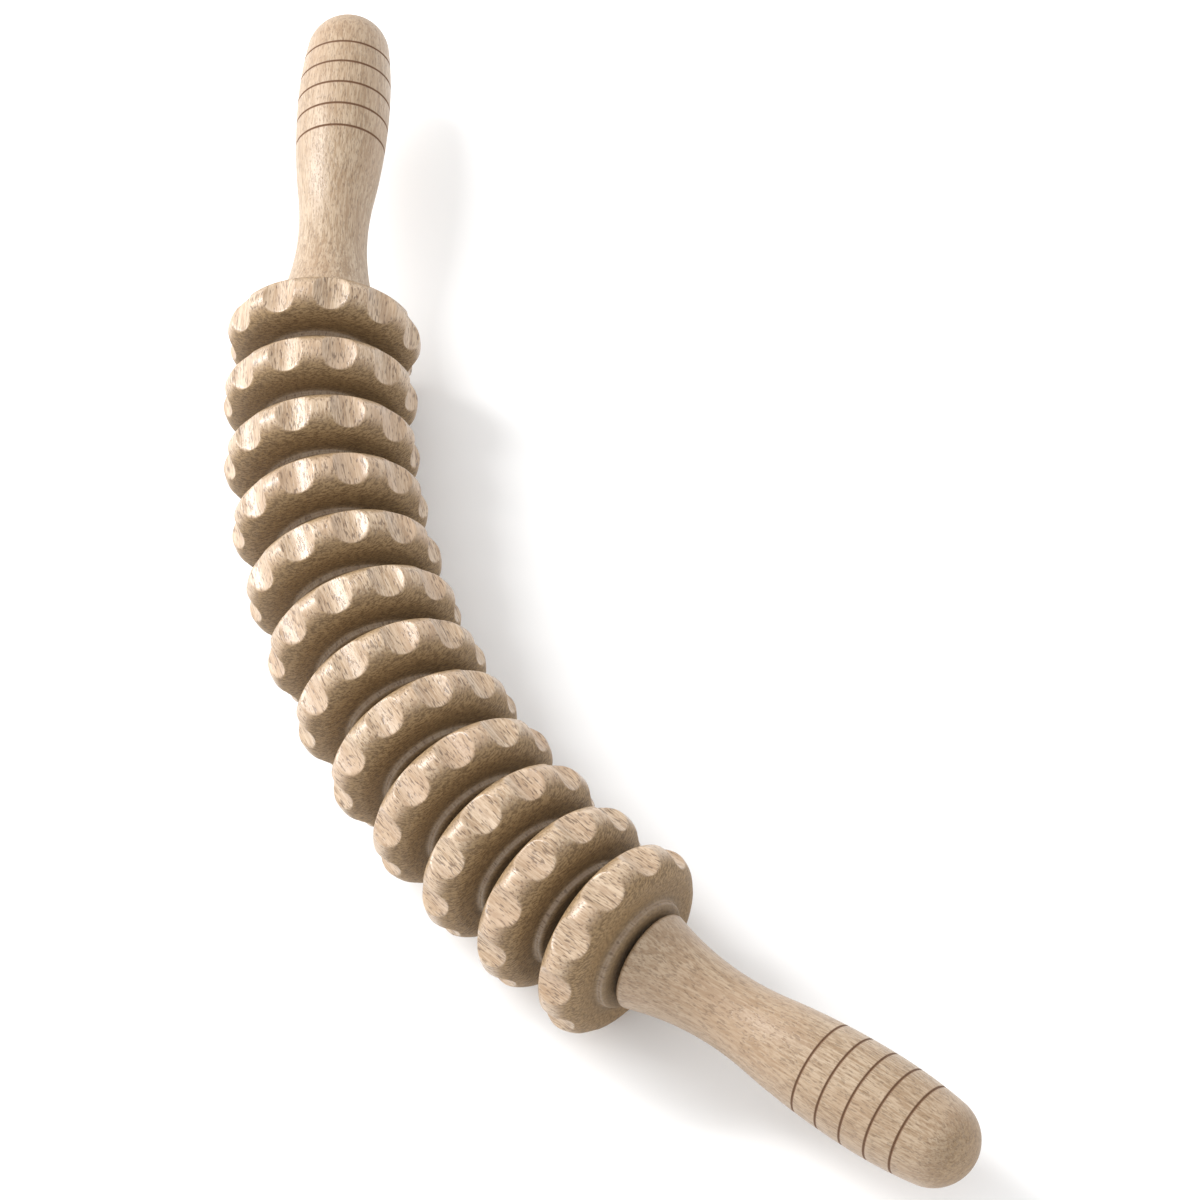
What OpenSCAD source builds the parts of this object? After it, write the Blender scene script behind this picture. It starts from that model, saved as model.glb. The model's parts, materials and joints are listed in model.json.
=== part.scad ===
// Curved hand massage roller.
// A row of fluted wooden wheels turns on a bent steel rod, and a turned wooden
// handle is screwed on each end of the rod. Millimetres, +Z up.
// The roller lies flat. The bend is horizontal and bulges towards -Y, and the
// lowest wheel ridge touches Z = 0.

/* [Wheels] */
// Diameter of a wheel over its ridges
wheel_d = 50; // [46:1:54]
// Thickness of the rounded rim
rim_w = 12; // [11:0.2:12.4]
// Distance between wheel centres along the rod
wheel_pitch = 18.3; // [17.2:0.1:19]
// Diameter of the raised hub boss
boss_d = 29; // [26:1:33]
// Radius of the boss's rounded edge
boss_edge_r = 1.2; // [0.6:0.1:1.4]
// Gap between two hubs where they come closest, inside the bend
hub_gap = 0.7; // [0.4:0.1:1.2]
// Number of flutes around a rim
flute_count = 11; // [9:1:13]
// Radius of the round-bottomed flutes
flute_r = 6; // [5:0.25:6.5]
// Depth of a flute below the ridges
flute_depth = 2.5; // [1.5:0.1:2.8]
// Bore that runs on the rod
wheel_bore_d = 8.5; // [8.4:0.1:9]

/* [Rod] */
// Diameter of the rod
rod_d = 8; // [7:0.5:8]
// Radius of the bend, at the rod's centre
bend_r = 212; // [190:1:230]
// Angle of the bend
bend_angle = 54.5; // [50:0.5:58]
// How far the row of wheels sits off the middle of the bend
row_shift = -7; // [-8:0.5:8]
// Diameter of the thread on each end of the rod
thread_d = 6; // [5:0.5:6]
// Length of that thread
thread_len = 15; // [12:1:16]

/* [Handles] */
// Length of a handle
handle_len = 94; // [90:1:100]
// Diameter of the flare next to the wheels
base_d = 25.2; // [24:0.4:28]
// Rounding of the flare's outer edge
base_edge_r = 1.2; // [0.8:0.1:1.5]
// Diameter of the neck
neck_d = 18.2; // [17:0.2:19]
// Distance from the flare's face to the neck
neck_pos = 24; // [21:1:26]
// Diameter of the grip at its fullest
grip_d = 24.6; // [23:0.2:26]
// Distance from the flare's face to the fullest part of the grip
grip_pos = 66; // [63:1:68]
// Radius of the long curve from the grip to the rounded tip
shoulder_r = 125; // [110:5:140]
// Number of burned grooves around a grip
groove_count = 5; // [1:1:5]
// Distance from the tip to the first groove
groove_start = 15; // [14:0.5:18]
// Distance between two grooves
groove_pitch = 6.9; // [6:0.1:7.5]
// Width of a groove at the surface
groove_w = 0.6; // [0.5:0.1:1.2]

/* [Fittings] */
// Outer diameter of the end washers
washer_d = 17; // [14:0.5:20]
// Thickness of the end washers
washer_t = 1; // [0.8:0.1:1.2]
// Outer diameter of the threaded inserts in the handles
insert_d = 11; // [10:0.2:11.4]
// Length of a threaded insert
insert_len = 18; // [16:1:20]
// Number of grip rings around an insert
insert_rings = 3; // [2:1:4]

/* [Hidden] */
wheel_count = 12;
wheel_r = wheel_d / 2;
bore_r = wheel_bore_d / 2;
boss_r = boss_d / 2;
crown_r = rim_w / 2;
ring_r = wheel_r - crown_r;
hub_w = wheel_pitch * (1 - boss_r / bend_r) - hub_gap;
flute_pos = wheel_r - flute_depth + flute_r;
flute_step = 360 / flute_count;
bore_chamfer = 0.6;

// Where each wheel happens to have stopped: the angle of one flute, in degrees,
// measured from straight out of the bend towards the top.
wheel_rest = [8, 15, 19, 16, 7, 17, 9, 9, 30, 16, 17, 26];
apex_wheel = 6;

// A turned step this small is left wherever two curves of one piece meet.
turned_step = 0.05;

rod_r = rod_d / 2;
turned_r = rod_r - 2 * turned_step;
turned_overlap = 0.5;
thread_r = thread_d / 2;
thread_chamfer = 1;
end_play = 0.3;
seat_gap = 0.02;
end_straight = 1;
half_row = (wheel_count - 1) / 2 * wheel_pitch;
handle_gap = hub_w / 2 + end_play + washer_t + seat_gap;
bend_room = half_row + handle_gap - abs(row_shift) - washer_t - end_straight;
half_bend = min(bend_r * bend_angle * PI / 360, bend_room);
far_base = row_shift - half_row - handle_gap;
near_base = row_shift + half_row + handle_gap;

base_r = base_d / 2;
neck_r = neck_d / 2;
grip_r = grip_d / 2;
socket_r = insert_d / 2;
socket_spare = 5;
socket_len = insert_len + socket_spare;
socket_tip = 3;

// The flare is a hollow curve that meets the flare's rim and the neck.
flare_rise = base_r - neck_r;
flare_run = neck_pos - base_edge_r;
flare_r = (flare_rise * flare_rise + flare_run * flare_run) / (2 * flare_rise);
// The grip is a long full curve tangent to the flare's curve.
span_r = flare_r + neck_r - grip_r;
span_s = grip_pos - neck_pos;
swell_r = (span_r * span_r + span_s * span_s - flare_r * flare_r) / (2 * (flare_r - span_r));
swell_s = neck_pos + span_s * flare_r / (flare_r + swell_r);
// The tip is a round cap tangent to the shoulder's curve.
cap_a = shoulder_r - grip_r;
cap_b = handle_len - grip_pos;
cap_r = (shoulder_r * shoulder_r - cap_a * cap_a - cap_b * cap_b) / (2 * (shoulder_r - cap_b));
cap_s = handle_len - cap_r;
cap_from = grip_pos + (cap_s - grip_pos) * shoulder_r / (shoulder_r - cap_r);

insert_r = insert_d / 2 - seat_gap;
thread_gap = 0.05;
insert_bore_r = thread_r + thread_gap;
ring_h = 0.5;
ring_half = 1;
ring_edge = 0.2;
washer_r = washer_d / 2;
washer_gap = 0.2;
washer_bore_r = rod_r + washer_gap;

// A point on the rod's centre line, s millimetres along it from the bend's middle.
function turn_at(s) = max(-half_bend, min(half_bend, s)) / bend_r * 180 / PI;
function rest_of(s) = s - turn_at(s) * PI / 180 * bend_r;
function x_at(s) = bend_r * sin(turn_at(s)) + rest_of(s) * cos(turn_at(s));
function y_at(s) = -bend_r * cos(turn_at(s)) + rest_of(s) * sin(turn_at(s));

// The frame's origin is below the middle of the whole roller.
near_x = x_at(near_base + cap_s) + cap_r;
far_x = x_at(far_base - cap_s) - cap_r;
top_y = max(y_at(near_base + cap_s), y_at(far_base - cap_s)) + cap_r;
apex_turn = turn_at((apex_wheel - (wheel_count - 1) / 2) * wheel_pitch + row_shift);
low_y = -(bend_r + ring_r) * cos(apex_turn) - crown_r;
mid_x = (near_x + far_x) / 2;
mid_y = (top_y + low_y) / 2;

$fn = 96;
WOOD = [0.80, 0.64, 0.48];
GRIP = [0.82, 0.68, 0.53];
STEEL = [0.72, 0.73, 0.75];
BRASS = [0.80, 0.66, 0.34];

// Moves a piece made along +Z at the origin to the rod's line at s. It then
// points along the rod: way 1 is towards the near end, way -1 towards the far end.
module on_rod(s, way) {
    translate([x_at(s) - mid_x, y_at(s) - mid_y, wheel_r])
        rotate([0, 0, turn_at(s)])
            rotate([0, way * 90, 0])
                children();
}

// A wheel's section, from its bore to its rim.
module wheel_section() {
    difference() {
        union() {
            translate([bore_r, -hub_w / 2])
                square([boss_r - boss_edge_r - bore_r, hub_w]);
            translate([bore_r, -hub_w / 2 + boss_edge_r])
                square([boss_r - bore_r, hub_w - 2 * boss_edge_r]);
            for (side = [-1, 1])
                translate([boss_r - boss_edge_r, side * (hub_w / 2 - boss_edge_r)])
                    circle(r = boss_edge_r);
            translate([bore_r, -crown_r])
                square([ring_r - bore_r, rim_w]);
            translate([ring_r, 0])
                circle(r = crown_r);
        }
        for (side = [-1, 1])
            translate([bore_r, side * hub_w / 2])
                rotate([0, 0, 45])
                    square(bore_chamfer * sqrt(2), center = true);
    }
}

// The wheel is turned by -90 about its own axis, so that a flute at angle 0 points
// straight out of the bend.
module wheel(index) {
    color(WOOD)
        on_rod((index - (wheel_count - 1) / 2) * wheel_pitch + row_shift, -1)
            difference() {
                rotate_extrude()
                    wheel_section();
                for (i = [0 : flute_count - 1])
                    rotate([0, 0, wheel_rest[index] - 90 + i * flute_step])
                        translate([flute_pos, 0, -hub_w])
                            cylinder(r = flute_r, h = 2 * hub_w);
            }
}

// One straight end of the rod: turned true up to the handle's face, then threaded.
module rod_end(base, way) {
    plain = abs(base) - half_bend;
    end = plain + thread_len;
    on_rod(way * half_bend, way)
        rotate_extrude()
            polygon([
                [0, -turned_overlap], [turned_r, -turned_overlap], [turned_r, plain],
                [thread_r, plain], [thread_r, end - thread_chamfer],
                [thread_r - thread_chamfer, end], [0, end]
            ]);
}

module core_rod() {
    bend_span = 2 * half_bend / bend_r * 180 / PI;
    color(STEEL)
        union() {
            translate([-mid_x, -mid_y, wheel_r])
                rotate([0, 0, -90 - bend_span / 2])
                    rotate_extrude(angle = bend_span)
                        translate([bend_r, 0])
                            circle(r = rod_r);
            rod_end(near_base, 1);
            rod_end(far_base, -1);
        }
}

// The handle's outside radius over the grip, s millimetres from its face.
function grip_at(s) =
    s < grip_pos
    ? grip_r - swell_r + sqrt(swell_r * swell_r - (s - grip_pos) * (s - grip_pos))
    : grip_r - shoulder_r + sqrt(shoulder_r * shoulder_r - (s - grip_pos) * (s - grip_pos));

// The flare's rounded edge and its hollow curve down to the neck.
module flare_section() {
    edge_centre = base_r + turned_step - base_edge_r;
    square([edge_centre, base_edge_r]);
    intersection() {
        translate([edge_centre, base_edge_r])
            circle(r = base_edge_r);
        square([base_d, base_edge_r]);
    }
    difference() {
        translate([0, base_edge_r])
            square([base_r, swell_s - base_edge_r]);
        translate([neck_r + flare_r, neck_pos])
            circle(r = flare_r);
    }
}

// The full curve of the grip, its shoulder and its rounded tip.
module grip_section() {
    intersection() {
        translate([0, swell_s])
            square([grip_d, grip_pos - swell_s]);
        translate([grip_r + turned_step - swell_r, grip_pos])
            circle(r = swell_r);
    }
    intersection() {
        translate([0, grip_pos])
            square([grip_d, cap_from - grip_pos]);
        translate([grip_r - shoulder_r, grip_pos])
            circle(r = shoulder_r);
    }
    intersection() {
        translate([0, cap_from])
            square([grip_d, handle_len - cap_from]);
        translate([0, cap_s])
            circle(r = cap_r - turned_step);
    }
}

module handle_section() {
    difference() {
        union() {
            flare_section();
            grip_section();
        }
        polygon([
            [0, -turned_overlap], [socket_r, -turned_overlap],
            [socket_r, socket_len], [0, socket_len + socket_tip]
        ]);
        for (i = [0 : groove_count - 1])
            translate([grip_at(handle_len - groove_start - i * groove_pitch),
                       handle_len - groove_start - i * groove_pitch])
                rotate([0, 0, 45])
                    square(groove_w / sqrt(2), center = true);
    }
}

module handle(base, way) {
    color(GRIP)
        on_rod(base, way)
            rotate_extrude()
                handle_section();
}

// A plain sleeve with saw-tooth rings that grip the wood.
module insert_section() {
    ring_step = insert_len / (insert_rings + 1);
    translate([insert_bore_r, 0])
        square([insert_r - ring_h - insert_bore_r, insert_len]);
    for (i = [1 : insert_rings])
        translate([insert_r - ring_h, i * ring_step])
            polygon([
                [-ring_edge, -ring_half], [0, -ring_half], [ring_h, ring_edge - ring_half],
                [0, ring_half], [-ring_edge, ring_half]
            ]);
}

module threaded_insert(base, way) {
    color(BRASS)
        on_rod(base + way * seat_gap, way)
            rotate_extrude()
                insert_section();
}

module washer(base, way) {
    color(STEEL)
        on_rod(base - way * (seat_gap + washer_t), way)
            difference() {
                cylinder(r = washer_r, h = washer_t);
                translate([0, 0, -washer_t])
                    cylinder(r = washer_bore_r, h = 3 * washer_t);
            }
}

module wheel_01() { wheel(0); }
module wheel_02() { wheel(1); }
module wheel_03() { wheel(2); }
module wheel_04() { wheel(3); }
module wheel_05() { wheel(4); }
module wheel_06() { wheel(5); }
module wheel_07() { wheel(6); }
module wheel_08() { wheel(7); }
module wheel_09() { wheel(8); }
module wheel_10() { wheel(9); }
module wheel_11() { wheel(10); }
module wheel_12() { wheel(11); }
module handle_far() { handle(far_base, -1); }
module handle_near() { handle(near_base, 1); }
module insert_far() { threaded_insert(far_base, -1); }
module insert_near() { threaded_insert(near_base, 1); }
module washer_far() { washer(far_base, -1); }
module washer_near() { washer(near_base, 1); }

wheel_01();
wheel_02();
wheel_03();
wheel_04();
wheel_05();
wheel_06();
wheel_07();
wheel_08();
wheel_09();
wheel_10();
wheel_11();
wheel_12();
core_rod();
handle_far();
handle_near();
insert_far();
insert_near();
washer_far();
washer_near();
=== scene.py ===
import json
import math

import bpy
from mathutils import Matrix, Vector


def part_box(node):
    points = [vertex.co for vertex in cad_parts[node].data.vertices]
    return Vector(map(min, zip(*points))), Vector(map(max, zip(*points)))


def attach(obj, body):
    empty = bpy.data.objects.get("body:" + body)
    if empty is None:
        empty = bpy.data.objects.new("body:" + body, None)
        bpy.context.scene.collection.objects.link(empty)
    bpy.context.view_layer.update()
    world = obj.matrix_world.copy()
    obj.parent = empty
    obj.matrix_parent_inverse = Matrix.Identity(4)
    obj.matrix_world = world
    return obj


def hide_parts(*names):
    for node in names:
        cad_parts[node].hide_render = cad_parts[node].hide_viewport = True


# Curved hand massage roller: turned wooden wheels and handles on a steel rod.
# Lengths are in metres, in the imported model's own frame.

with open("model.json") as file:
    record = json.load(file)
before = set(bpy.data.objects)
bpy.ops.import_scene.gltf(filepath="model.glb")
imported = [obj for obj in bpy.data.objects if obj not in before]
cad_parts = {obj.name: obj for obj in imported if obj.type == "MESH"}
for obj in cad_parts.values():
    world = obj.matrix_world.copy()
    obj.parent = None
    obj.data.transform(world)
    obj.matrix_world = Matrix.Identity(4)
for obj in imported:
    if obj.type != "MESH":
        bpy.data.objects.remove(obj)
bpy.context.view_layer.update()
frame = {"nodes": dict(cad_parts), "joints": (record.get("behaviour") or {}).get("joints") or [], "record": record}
joints = {joint["child"]: joint for joint in frame["joints"]}
wheel_nodes = sorted(node for node in frame["nodes"] if node.startswith("wheel_"))

MM = 0.001

# Wheel, as the design has it
RIM_HALF = 6.0 * MM
BOSS_R = 14.5 * MM
BOSS_EDGE = 1.2 * MM
BORE_R = 4.25 * MM
BORE_CHAMFER = 0.6 * MM
FLUTES = 11
FLUTE_R = 6.0 * MM
FLUTE_DEPTH = 2.5 * MM
FLUTE_ROUNDING = 0.3 * MM
BOSS_FILLET = 0.95 * MM
# A ring of vertices this far inside the boss's rounded edge holds the edge's shape
BOSS_HOLD = 1.5 * MM
# Stretches of the rim's arc: start and end in degrees, and steps. The steps are
# closest together where the flutes run out.
RIM_STRETCHES = ((90, 66, 4), (64, 32, 15), (27, 0, 5))
# Where a flute's edge lies at the ridges, as a share of the flute's tangent angle,
# and the band round that edge in which the columns of vertices are closest together
EDGE_SHARE = 0.9
EDGE_BAND = (0.78, 1.22)
COLUMNS_IN_FLUTE = 4
COLUMNS_IN_BAND = 9
COLUMNS_ON_RIDGE = 3

# Handle, measured from its face next to the wheels
HANDLE_LEN = 94.0 * MM
BASE_R = 12.6 * MM
BASE_EDGE = 1.2 * MM
NECK_R = 9.1 * MM
NECK_AT = 24.0 * MM
GRIP_R = 12.3 * MM
GRIP_AT = 66.0 * MM
SHOULDER_R = 125.0 * MM
GROOVES = 5
GROOVE_START = 15.0 * MM
GROOVE_PITCH = 6.9 * MM
GROOVE_WIDTH = 0.6 * MM
GROOVE_FLOOR = 0.06 * MM
# Rings of vertices across a groove, in groove widths from its middle
GROOVE_RINGS = (-0.65, -0.52, -0.44, -0.2, -0.06, 0, 0.06, 0.2, 0.44, 0.52, 0.65)
GROOVE_CLEAR = 0.9 * GROOVE_WIDTH
HANDLE_RING_STEP = 1.0 * MM
HANDLE_COLUMNS = 128
SOCKET_R = 5.5 * MM
SOCKET_DEPTH = 23.0 * MM
SOCKET_CHAMFER = 0.4 * MM
SOCKET_CONE = 3.0 * MM
SOCKET_CONE_RING = 1.4 * MM
WASHER_HALF = 0.5 * MM
SEAT_GAP = 0.02 * MM

# The photograph's view
AZIMUTH = 79.4
ELEVATION = 57.8
ROLL = -16.8
DISTANCE = 1.151
LENS = 140.2
SENSOR = 36.0
AIM = Vector((0.0111, 0.0287, 0.0267))

# Studio
FLOOR_HALF = 4.0
FLOOR_GREY = 0.94
FLOOR_ROUGHNESS = 0.8
WORLD_STRENGTH = 1.05
KEY_DIRECTION = (-0.67, -0.46, 0.6)
KEY_LONG_WAY = (0.18, 0.72, 0.67)
KEY_SIZE = (0.35, 1.2)
KEY_DISTANCE = 1.6
KEY_POWER = 30

FULL_TURN = 2 * math.pi


def middle(node):
    low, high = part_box(node)
    return (low + high) / 2


def extent(node):
    low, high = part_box(node)
    return high - low


WHEEL_R = max(extent(node).z for node in wheel_nodes) / 2
RING_R = WHEEL_R - RIM_HALF
FLUTE_AT = WHEEL_R - FLUTE_DEPTH + FLUTE_R


def arc(centre, radius, start, end, steps):
    """Points (r, z) along an arc, its angles in degrees from +r towards +z."""
    points = []
    for i in range(steps + 1):
        angle = math.radians(start + (end - start) * i / steps)
        points.append((centre[0] + radius * math.cos(angle), centre[1] + radius * math.sin(angle)))
    return points


def make_mesh(name, verts, faces, place):
    """A smooth closed mesh object, its vertices given in the frame called place."""
    mesh = bpy.data.meshes.new(name)
    mesh.from_pydata([place @ Vector(v) for v in verts], [], faces)
    mesh.polygons.foreach_set("use_smooth", [True] * len(mesh.polygons))
    mesh.update()
    mesh.validate()
    piece = bpy.data.objects.new(name, mesh)
    bpy.context.scene.collection.objects.link(piece)
    return piece


def ring_faces(rows, columns, closed):
    """Quads between neighbouring rings of vertices."""
    faces = []
    last = rows if closed else rows - 1
    for row in range(last):
        here = row * columns
        there = (row + 1) % rows * columns
        for column in range(columns):
            following = (column + 1) % columns
            faces.append((here + column, here + following, there + following, there + column))
    return faces


# Wheels

def wheel_place(joint):
    """A wheel's own frame: X out of the bend, Y up, Z back along the rod."""
    axis = Vector(joint["axis"]).normalized()
    up = Vector((0, 0, 1))
    out = axis.cross(up).normalized()
    rotation = Matrix((out, up, -axis)).transposed()
    return Matrix.Translation(joint["pos_m"]) @ rotation.to_4x4()


def hub_half(node, place):
    """Half a wheel's width over its bosses, measured on its CAD node."""
    inverse = place.inverted()
    return max(abs((inverse @ v.co).z) for v in frame["nodes"][node].data.vertices)


def flute_turn(node, place):
    """The angle of one flute, from the CAD node's faces inside the flutes."""
    inverse = place.inverted()
    mesh = frame["nodes"][node].data
    east = 0.0
    north = 0.0
    for face in mesh.polygons:
        at = inverse @ face.center
        radius = math.hypot(at.x, at.y)
        depth = WHEEL_R - radius
        if abs(at.z) < RIM_HALF / 2 and FLUTE_DEPTH / 4 < depth < FLUTE_DEPTH * 1.1:
            turn = FLUTES * math.atan2(at.y, at.x)
            east += face.area * depth * math.cos(turn)
            north += face.area * depth * math.sin(turn)
    return math.atan2(north, east) / FLUTES


def wheel_profile(half):
    """(r, z) from the middle of the bore, round the rim and back to the bore."""
    face = [(BORE_R, 0), (BORE_R, half - BORE_CHAMFER), (BORE_R + BORE_CHAMFER, half)]
    face.append((BOSS_R - BOSS_EDGE - BOSS_HOLD, half))
    face += arc((BOSS_R - BOSS_EDGE, half - BOSS_EDGE), BOSS_EDGE, 90, 0, 5)
    face += arc((BOSS_R + BOSS_FILLET, RIM_HALF + BOSS_FILLET), BOSS_FILLET, 180, 270, 5)
    near = face
    for start, end, steps in RIM_STRETCHES:
        near += arc((RING_R, 0), RIM_HALF, start, end, steps)
    return near + [(r, -z) for r, z in reversed(near[1:-1])]


def column_angles():
    """Angles round one wheel, closest together along the flutes' edges."""
    edge = math.asin(FLUTE_R / FLUTE_AT) * EDGE_SHARE
    half_step = math.pi / FLUTES
    inner, outer = (edge * share for share in EDGE_BAND)
    near = [inner * i / COLUMNS_IN_FLUTE for i in range(COLUMNS_IN_FLUTE)]
    near += [inner + (outer - inner) * i / COLUMNS_IN_BAND for i in range(COLUMNS_IN_BAND + 1)]
    near += [outer + (half_step - outer) * i / COLUMNS_ON_RIDGE for i in range(1, COLUMNS_ON_RIDGE + 1)]
    sector = [-angle for angle in reversed(near[1:-1])] + near
    return [angle + k * 2 * half_step for k in range(FLUTES) for angle in sector]


def fluted(r, z, angle):
    """The radius left at z once the nearest flute is cut, its edge eased."""
    if r < RING_R:
        return r
    step = FULL_TURN / FLUTES
    off = (angle + step / 2) % step - step / 2
    reach = FLUTE_R ** 2 - (FLUTE_AT * math.sin(off)) ** 2
    if reach <= 0:
        return r
    cut = FLUTE_AT * math.cos(off) - math.sqrt(reach)
    near = max(FLUTE_ROUNDING - abs(r - cut), 0) / FLUTE_ROUNDING
    return min(r, cut) - near * near * FLUTE_ROUNDING / 4


def make_wheel(node):
    body = next(b for b, nodes in frame["record"]["behaviour"]["bodies"].items() if node in nodes)
    place = wheel_place(joints[body])
    profile = wheel_profile(hub_half(node, place))
    angles = column_angles()
    first = flute_turn(node, place)
    verts = []
    for r, z in profile:
        for angle in angles:
            kept = fluted(r, z, angle)
            verts.append((kept * math.cos(angle + first), kept * math.sin(angle + first), z))
    faces = ring_faces(len(profile), len(angles), closed=True)
    piece = make_mesh(node + "_turned", verts, faces, place)
    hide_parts(node)
    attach(piece, body)
    return piece, place


# Handles

def handle_place(end):
    """A handle's own frame: Z from its face to its tip, Y up."""
    start = middle("washer_" + end)
    axis = (middle("insert_" + end) - start).normalized()
    up = Vector((0, 0, 1))
    rotation = Matrix((up.cross(axis), up, axis)).transposed()
    return Matrix.Translation(start + axis * (WASHER_HALF + SEAT_GAP)) @ rotation.to_4x4()


# The outline's arcs: a hollow flare, a full swell up to the grip, a long shoulder
# and a round cap, each tangent to the next
RISE = BASE_R - NECK_R
RUN = NECK_AT - BASE_EDGE
FLARE_R = (RISE * RISE + RUN * RUN) / (2 * RISE)
SPAN_R = FLARE_R + NECK_R - GRIP_R
SPAN_S = GRIP_AT - NECK_AT
SWELL_R = (SPAN_R ** 2 + SPAN_S ** 2 - FLARE_R ** 2) / (2 * (FLARE_R - SPAN_R))
SWELL_AT = NECK_AT + SPAN_S * FLARE_R / (FLARE_R + SWELL_R)
CAP_A = SHOULDER_R - GRIP_R
CAP_B = HANDLE_LEN - GRIP_AT
CAP_R = (SHOULDER_R ** 2 - CAP_A ** 2 - CAP_B ** 2) / (2 * (SHOULDER_R - CAP_B))
CAP_AT = HANDLE_LEN - CAP_R
CAP_FROM = GRIP_AT + (CAP_AT - GRIP_AT) * SHOULDER_R / (SHOULDER_R - CAP_R)


def handle_radius(s):
    """The handle's outside radius, s from its face, without the grooves."""
    if s < SWELL_AT:
        return NECK_R + FLARE_R - math.sqrt(FLARE_R ** 2 - (s - NECK_AT) ** 2)
    if s < GRIP_AT:
        return GRIP_R - SWELL_R + math.sqrt(SWELL_R ** 2 - (s - GRIP_AT) ** 2)
    return GRIP_R - SHOULDER_R + math.sqrt(SHOULDER_R ** 2 - (s - GRIP_AT) ** 2)


def groove_cut(s):
    """How deep the nearest groove is at s: a V with a slightly rounded floor."""
    depth = 0.0
    for i in range(GROOVES):
        off = abs(s - (HANDLE_LEN - GROOVE_START - i * GROOVE_PITCH))
        depth = max(depth, GROOVE_WIDTH / 2 - math.hypot(off, GROOVE_FLOOR))
    return depth


def handle_profile():
    """(r, z) from the bottom of the socket round the outside to the tip."""
    inside = [(SOCKET_R / 2, SOCKET_DEPTH + SOCKET_CONE_RING), (SOCKET_R, SOCKET_DEPTH)]
    inside += [(SOCKET_R, SOCKET_CHAMFER), (SOCKET_R + SOCKET_CHAMFER, 0)]
    edge = arc((BASE_R - BASE_EDGE, BASE_EDGE), BASE_EDGE, -90, 0, 6)
    count = int((CAP_FROM - BASE_EDGE) / HANDLE_RING_STEP)
    rings = [BASE_EDGE + i * HANDLE_RING_STEP for i in range(1, count)]
    centres = [HANDLE_LEN - GROOVE_START - i * GROOVE_PITCH for i in range(GROOVES)]
    rings = [s for s in rings if all(abs(s - c) > GROOVE_CLEAR for c in centres)]
    rings += [c + GROOVE_WIDTH * share for c in centres for share in GROOVE_RINGS]
    outside = [(handle_radius(s) - groove_cut(s), s) for s in sorted(rings)]
    slope = math.degrees(math.asin((CAP_FROM - CAP_AT) / CAP_R))
    cap = arc((0, CAP_AT), CAP_R, slope, 86, 20)
    return inside + edge + outside + cap


def make_handle(end):
    place = handle_place(end)
    profile = handle_profile()
    columns = HANDLE_COLUMNS
    verts = []
    for r, z in profile:
        for column in range(columns):
            angle = FULL_TURN * column / columns
            verts.append((r * math.cos(angle), r * math.sin(angle), z))
    faces = ring_faces(len(profile), columns, closed=False)
    deep = len(verts)
    verts.append((0, 0, SOCKET_DEPTH + SOCKET_CONE))
    verts.append((0, 0, HANDLE_LEN))
    top = (len(profile) - 1) * columns
    for column in range(columns):
        following = (column + 1) % columns
        faces.append((following, column, deep))
        faces.append((top + column, top + following, deep + 1))
    piece = make_mesh("handle_" + end + "_turned", verts, faces, place)
    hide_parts("handle_" + end)
    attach(piece, "core")
    return piece, place


# Materials

def srgb(red, green, blue):
    """A colour given as 0 to 255 display values, as linear RGBA."""
    linear = []
    for value in (red, green, blue):
        c = value / 255
        linear.append(c / 12.92 if c <= 0.04045 else ((c + 0.055) / 1.055) ** 2.4)
    return (*linear, 1)


class Nodes:
    """A material's node tree, with short calls to add and join nodes."""

    def __init__(self, name):
        self.material = bpy.data.materials.new(name)
        self.material.use_nodes = True
        self.tree = self.material.node_tree
        self.tree.nodes.clear()

    def add(self, kind, inputs=None, **settings):
        node = self.tree.nodes.new("ShaderNode" + kind)
        for key, value in settings.items():
            setattr(node, key, value)
        for key, value in (inputs or {}).items():
            if isinstance(value, bpy.types.NodeSocket):
                self.tree.links.new(value, node.inputs[key])
            else:
                node.inputs[key].default_value = value
        return node

    def math(self, operation, a, b=0.0):
        return self.add("Math", {0: a, 1: b}, operation=operation).outputs[0]

    def noise(self, vector, size, detail, seed, rough=0.5):
        """Noise whose features have this size in metres along X, Y and Z."""
        scale = [1 / length for length in size]
        stretched = self.add("Mapping", {"Vector": vector, "Scale": scale}).outputs[0]
        inputs = {"Vector": stretched, "W": seed, "Scale": 1.0, "Detail": detail, "Roughness": rough}
        return self.add("TexNoise", inputs, noise_dimensions="4D").outputs["Fac"]

    def span(self, value, low, high, to_low=0.0, to_high=1.0):
        inputs = {"Value": value, "From Min": low, "From Max": high, "To Min": to_low, "To Max": to_high}
        return self.add("MapRange", inputs, interpolation_type="SMOOTHSTEP").outputs[0]

    def blend(self, factor, a, b):
        node = self.add("Mix", data_type="RGBA")
        for key, value in ((0, factor), (6, a), (7, b)):
            if isinstance(value, bpy.types.NodeSocket):
                self.tree.links.new(value, node.inputs[key])
            else:
                node.inputs[key].default_value = value
        return node.outputs[2]

    def finish(self, shader):
        self.add("OutputMaterial", {"Surface": shader})
        return self.material


def mm(x, y, z):
    """A size given in millimetres, in metres."""
    return (x * MM, y * MM, z * MM)


LIGHT_WOOD = srgb(193, 171, 145)
WARM_WOOD = srgb(155, 128, 99)
ROSY_WOOD = srgb(174, 144, 116)
DEEP_WOOD = srgb(106, 88, 66)
FLECK = srgb(86, 62, 39)
END_GRAIN = srgb(149, 122, 85)
END_DARK = srgb(104, 80, 49)
SCORCH = srgb(100, 66, 38)

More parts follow.
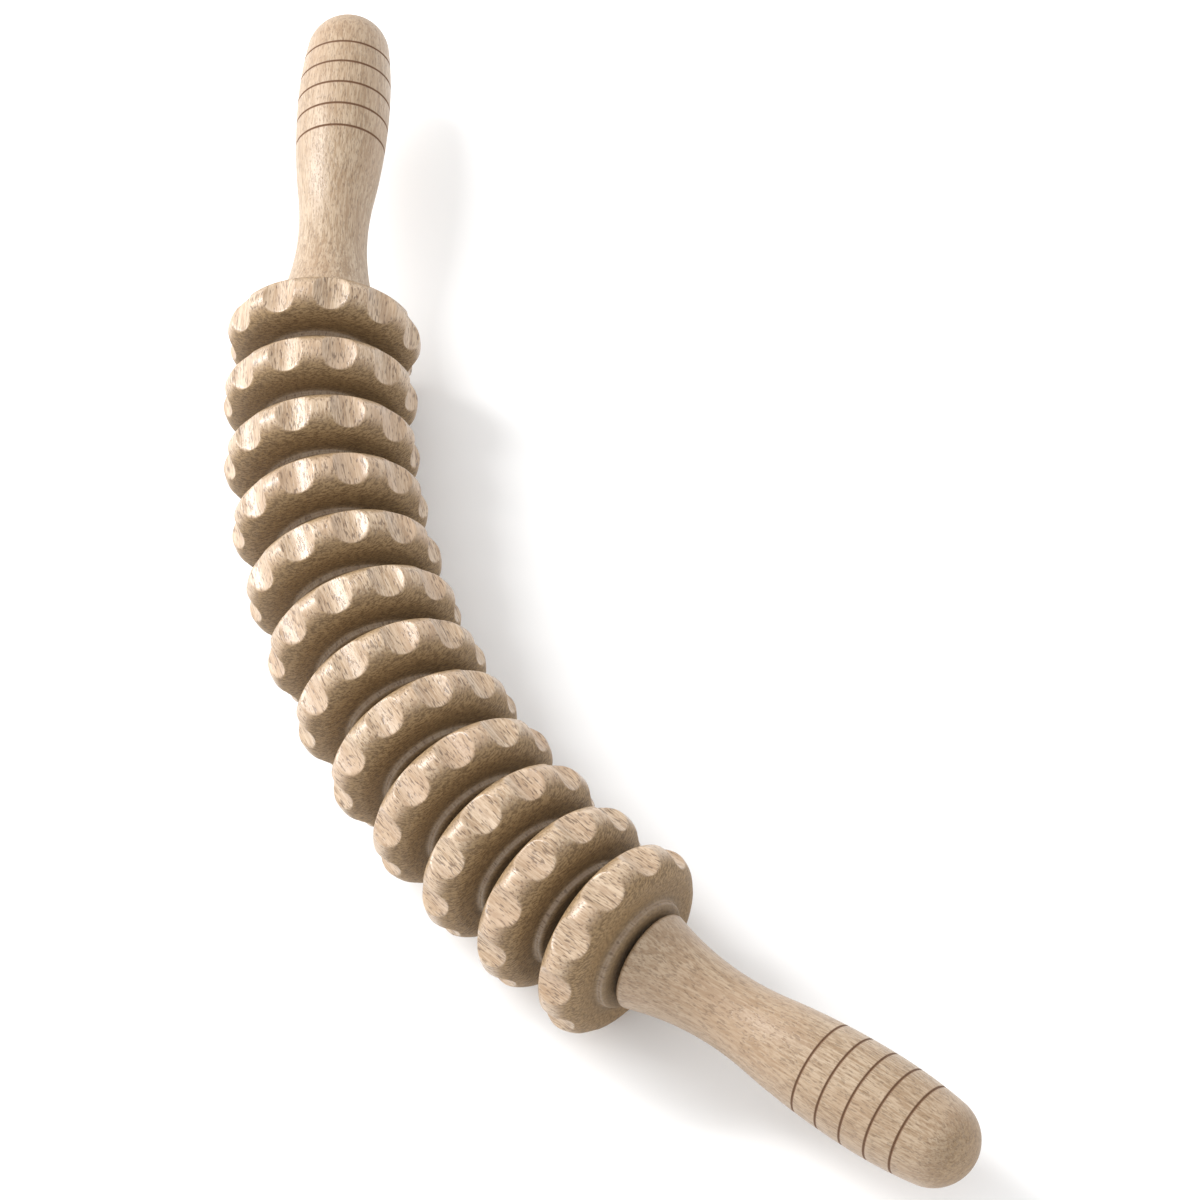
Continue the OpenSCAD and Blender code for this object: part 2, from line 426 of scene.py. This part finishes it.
# Sizes of the wood's features across, across and along the grain
BLOTCH = mm(14, 14, 30)
FIGURE = mm(2.0, 0.9, 26)
FIBRE = mm(0.4, 0.4, 4.5)
PORES = mm(0.35, 0.35, 0.9)
END_RINGS = mm(1.0, 0.34, 1.0)
WOOD_BUMP = 0.12 * MM
COAT_ROUGHNESS = 0.23
HUB_FADE = 3.0 * MM
SCORCH_SPAN = (0.3 * GROOVE_WIDTH, 0.9 * GROOVE_WIDTH)
SCORCH_STRENGTH = 0.9

SCRATCH = mm(0.2, 3, 0.2)
STAIN = mm(6, 6, 6)
METAL_BUMP = 0.03 * MM

# What differs between the two kinds of turned piece: the seed of the first one and the
# step to the next, the size and strength of the flecks, the lacquer's gloss, an overall
# darkening, how far end grain shows, a painted shade round the hub, and scorched grooves
WHEEL_FINISH = {
    "seed": 1.7, "seed_step": 5.3,
    "fleck_size": mm(0.4, 0.36, 2.0), "fleck": 0.7, "gloss": 0.42, "darken": 0.0,
    "end_share": 1.0, "hub_painted_shade": 0.5, "scorched": False,
}
HANDLE_FINISH = {
    "seed": 71.3, "seed_step": 9.1,
    "fleck_size": mm(0.36, 0.33, 1.5), "fleck": 0.4, "gloss": 0.15, "darken": 0.22,
    "end_share": 0.5, "hub_painted_shade": 0.0, "scorched": True,
}


def end_grain(n, coords, local, axis, seed):
    """How squarely the surface cuts the grain, and the colour it has there."""
    inputs = {0: coords.outputs["Normal"], 1: axis}
    facing = n.add("VectorMath", inputs, operation="DOT_PRODUCT").outputs["Value"]
    rings = n.noise(local, END_RINGS, 3, seed + 23, 0.7)
    colour = n.blend(n.span(rings, 0.4, 0.6), END_DARK, END_GRAIN)
    return n.math("ABSOLUTE", facing), colour


def hub_painted_shade(n, local, strength):
    """Painted shade on and close round the boss, where the gap between the wheels lies in shadow; it fades
    outwards.
    """
    across = n.add("VectorMath", {0: local, 1: (1, 1, 0)}, operation="MULTIPLY").outputs[0]
    radius = n.add("VectorMath", {0: across}, operation="LENGTH").outputs["Value"]
    return n.span(radius, BOSS_R, BOSS_R + HUB_FADE, strength, 0.0)


def scorch(n, local):
    """How burned the wood is: strongly in the grooves, and not at all away from them."""
    along = n.add("SeparateXYZ", {0: local}).outputs[2]
    first = HANDLE_LEN - GROOVE_START - (GROOVES - 1) * GROOVE_PITCH
    from_first = n.math("SUBTRACT", along, first)
    off = n.math("PINGPONG", from_first, GROOVE_PITCH / 2)
    burn = n.span(off, *SCORCH_SPAN, SCORCH_STRENGTH, 0.0)
    # 1 within half the grooves' stretch of its middle, and 0 outside it
    inside = n.math("COMPARE", n.math("DIVIDE", from_first, GROOVE_PITCH), (GROOVES - 1) / 2)
    inside.node.inputs[2].default_value = GROOVES / 2
    return n.math("MULTIPLY", burn, inside)


def wood(name, place, index, finish):
    """Lacquered beech with its grain along the piece's own Z, different for each index."""
    n = Nodes(name)
    seed = finish["seed"] + finish["seed_step"] * index
    coords = n.add("TexCoord")
    inputs = {"Location": place.translation, "Rotation": place.to_euler()}
    inputs["Vector"] = coords.outputs["Object"]
    local = n.add("Mapping", inputs, vector_type="TEXTURE").outputs[0]

    blotch = n.noise(local, BLOTCH, 2, seed)
    figure = n.noise(local, FIGURE, 3, seed + 3)
    fibre = n.noise(local, FIBRE, 3, seed + 7, 0.65)
    dash = n.noise(local, finish["fleck_size"], 1, seed + 11)
    pores = n.noise(local, PORES, 2, seed + 19)

    tone = n.math("ADD", n.math("MULTIPLY", figure, 0.3), n.math("MULTIPLY", fibre, 0.7))
    colour = n.blend(n.span(tone, 0.4, 0.6), WARM_WOOD, LIGHT_WOOD)
    colour = n.blend(n.span(blotch, 0.35, 0.7, 0.0, 0.5), colour, ROSY_WOOD)
    marks = n.span(dash, 0.54, 0.66)
    colour = n.blend(n.math("MULTIPLY", marks, finish["fleck"]), colour, FLECK)
    colour = n.blend(finish["darken"], colour, DEEP_WOOD)

    square, end_colour = end_grain(n, coords, local, place.to_3x3().col[2], seed)
    end = n.span(square, 0.2, 0.8, 0.0, finish["end_share"])
    colour = n.blend(end, colour, end_colour)

    height = n.math("ADD", n.math("MULTIPLY", fibre, 0.6), n.math("MULTIPLY", pores, 0.4))
    height = n.math("SUBTRACT", height, n.math("MULTIPLY", marks, 0.4))
    rough = n.span(fibre, 0.3, 0.7, 0.36, 0.5)
    rough = n.math("ADD", rough, n.math("MULTIPLY", end, 0.25))
    # Painted shade: the wood round the boss is darkened, standing in for the shadow in the gap between wheels
    if finish["hub_painted_shade"]:
        colour = n.blend(hub_painted_shade(n, local, finish["hub_painted_shade"]), colour, DEEP_WOOD)
    if finish["scorched"]:
        burn = scorch(n, local)
        colour = n.blend(burn, colour, SCORCH)
        rough = n.math("ADD", rough, n.math("MULTIPLY", burn, 0.3))
    bump = n.add("Bump", {"Height": height, "Strength": 0.8, "Distance": WOOD_BUMP}).outputs[0]
    coat = n.span(end, 0.0, 0.7, finish["gloss"], 0.1)
    inputs = {"Base Color": colour, "Roughness": rough, "Normal": bump}
    inputs.update({"Coat Weight": coat, "Coat Normal": bump})
    shader = n.add("BsdfPrincipled", inputs)
    shader.inputs["Coat Roughness"].default_value = COAT_ROUGHNESS
    return n.finish(shader.outputs[0])


def metal(name, colour, dark, seed, roughness):
    """Turned metal: fine scratches and faint stains."""
    n = Nodes(name)
    local = n.add("TexCoord").outputs["Object"]
    scratch = n.noise(local, SCRATCH, 3, seed, 0.7)
    stain = n.noise(local, STAIN, 3, seed + 5)
    tint = n.blend(n.span(stain, 0.4, 0.7, 0.0, 0.5), colour, dark)
    rough = n.span(scratch, 0.3, 0.7, roughness - 0.08, roughness + 0.1)
    bump = n.add("Bump", {"Height": scratch, "Strength": 0.2, "Distance": METAL_BUMP}).outputs[0]
    shader = n.add("BsdfPrincipled", {"Base Color": tint, "Roughness": rough, "Normal": bump})
    shader.inputs["Metallic"].default_value = 1.0
    return n.finish(shader.outputs[0])


def give(material, *nodes):
    """Puts a material on CAD nodes that keep their own shape."""
    for node in nodes:
        slots = frame["nodes"][node].data.materials
        for i in range(len(slots)):
            slots[i] = material


# The pieces

for index, node in enumerate(wheel_nodes):
    wheel, place = make_wheel(node)
    wheel.data.materials.append(wood("beech_" + node, place, index, WHEEL_FINISH))

for index, end in enumerate(("far", "near")):
    handle, place = make_handle(end)
    handle.data.materials.append(wood("beech_handle_" + end, place, index, HANDLE_FINISH))

steel = metal("rod_steel_turned", srgb(190, 192, 196), srgb(140, 138, 136), seed=3.1, roughness=0.32)
plate = metal("washer_zinc", srgb(200, 202, 206), srgb(150, 150, 150), seed=8.4, roughness=0.38)
brass = metal("insert_brass_turned", srgb(214, 178, 98), srgb(150, 116, 62), seed=5.2, roughness=0.3)
give(steel, "core_rod")
give(plate, "washer_far", "washer_near")
give(brass, "insert_far", "insert_near")


# The studio

def make_floor():
    half = FLOOR_HALF
    mesh = bpy.data.meshes.new("studio_floor")
    corners = [(-half, -half, 0), (half, -half, 0), (half, half, 0), (-half, half, 0)]
    mesh.from_pydata(corners, [], [(0, 1, 2, 3)])
    floor = bpy.data.objects.new("studio_floor", mesh)
    bpy.context.scene.collection.objects.link(floor)
    n = Nodes("pale_floor")
    grey = (FLOOR_GREY, FLOOR_GREY, FLOOR_GREY, 1)
    shader = n.add("BsdfPrincipled", {"Base Color": grey, "Roughness": FLOOR_ROUGHNESS})
    mesh.materials.append(n.finish(shader.outputs[0]))


def make_light(name, direction, long_way, size, distance, power):
    """A soft rectangular light that faces the object, its length lying along long_way."""
    data = bpy.data.lights.new(name, "AREA")
    data.shape = "RECTANGLE"
    data.size, data.size_y = size
    data.energy = power
    away = Vector(direction).normalized()
    across = Vector(long_way).cross(away).normalized()
    turned = Matrix((across, away.cross(across), away)).transposed().to_4x4()
    light = bpy.data.objects.new(name, data)
    light.matrix_world = Matrix.Translation(away * distance) @ turned
    bpy.context.scene.collection.objects.link(light)


def make_world(strength):
    world = bpy.data.worlds.new("studio")
    world.use_nodes = True
    back = world.node_tree.nodes["Background"]
    back.inputs["Color"].default_value = (1, 1, 1, 1)
    back.inputs["Strength"].default_value = strength
    bpy.context.scene.world = world


def make_camera():
    a = math.radians(AZIMUTH)
    e = math.radians(ELEVATION)
    r = math.radians(ROLL)
    back = Vector((math.sin(a) * math.cos(e), -math.cos(a) * math.cos(e), math.sin(e)))
    level = Vector((0, 0, 1)).cross(back).normalized()
    upright = back.cross(level)
    right = level * math.cos(r) + upright * math.sin(r)
    up = back.cross(right)
    data = bpy.data.cameras.new("camera")
    data.lens = LENS
    data.sensor_width = SENSOR
    data.clip_start = 0.05
    data.clip_end = 50.0
    camera = bpy.data.objects.new("camera", data)
    turned = Matrix((right, up, back)).transposed().to_4x4()
    camera.matrix_world = Matrix.Translation(AIM + back * DISTANCE) @ turned
    bpy.context.scene.collection.objects.link(camera)
    bpy.context.scene.camera = camera


make_floor()
make_world(WORLD_STRENGTH)
make_light("key", KEY_DIRECTION, KEY_LONG_WAY, KEY_SIZE, KEY_DISTANCE, KEY_POWER)
make_camera()
bpy.context.scene.view_settings.view_transform = "Standard"
